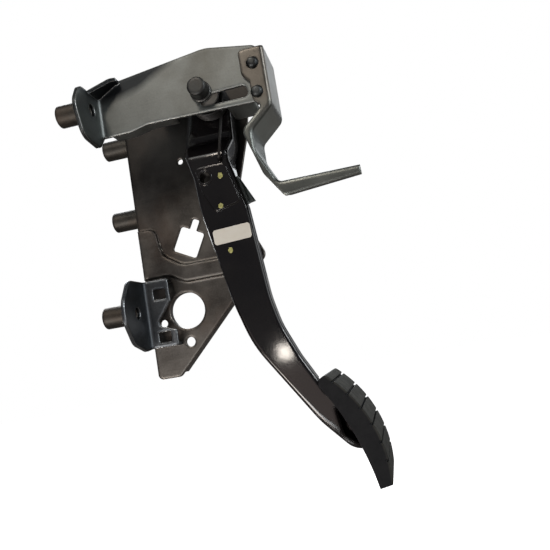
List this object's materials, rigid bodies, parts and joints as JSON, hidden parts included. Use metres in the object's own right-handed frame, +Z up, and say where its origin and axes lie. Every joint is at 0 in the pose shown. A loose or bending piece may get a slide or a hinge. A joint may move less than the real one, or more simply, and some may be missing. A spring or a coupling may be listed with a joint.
{
  "type": "brake pedal assembly",
  "caption": "Car brake pedal: a curved pressed arm with a grooved rubber pad, hung on a pivot bolt in a plated pressed-steel bulkhead bracket with stud collars and a rear brace.",
  "frame": {"origin": "centre of the upper near stud hole in the bulkhead face, at the end of its collar", "axes": "+X from the bulkhead towards the driver, +Y across the car from the near side plate to the far one, +Z up along the bulkhead"},
  "size_m": [0.202, 0.1125, 0.3135],
  "materials": {
    "zinc_olive": "zinc plated, satin",
    "zinc_brown": "zinc plated, satin",
    "zinc_slate": "zinc plated, satin",
    "collar_steel": "dull plated",
    "bolt_steel": "plated",
    "spring_steel": "oiled",
    "black_paint": "gloss",
    "pad_rubber": "matt",
    "bush_plastic": "matt",
    "label_film": "satin"
  },
  "bodies": {
    "bracket": {"near_side_plate": "zinc_olive", "far_side_plate": "zinc_brown", "lower_mount_bracket": "zinc_slate", "stud_collars": "collar_steel", "brace_strut": "zinc_olive", "strut_rivets": "bolt_steel", "pivot_bolt": "bolt_steel", "pivot_washer_near": "bolt_steel", "pivot_washer_far": "bolt_steel", "pivot_nut": "bolt_steel", "pivot_sleeve": "bolt_steel", "return_spring": "spring_steel"},
    "pedal": {"hub_tube": "black_paint", "pivot_bush_near": "bush_plastic", "pivot_bush_far": "bush_plastic", "pedal_arm": "black_paint", "pushrod_bush": "black_paint", "switch_tab": "zinc_slate", "foot_plate": "black_paint", "rubber_pad": "pad_rubber", "arm_label": "label_film"}
  },
  "joints": [
    {"name": "pedal_swing", "type": "hinge", "parent": "bracket", "child": "pedal", "pos_m": [0.102, 0.038, 0], "axis": [0, 1, 0], "range_deg": [0, 20], "stiffness_Nm_per_rad": 2, "springref_deg": -34.38, "deforming": ["return_spring"]}
  ]
}
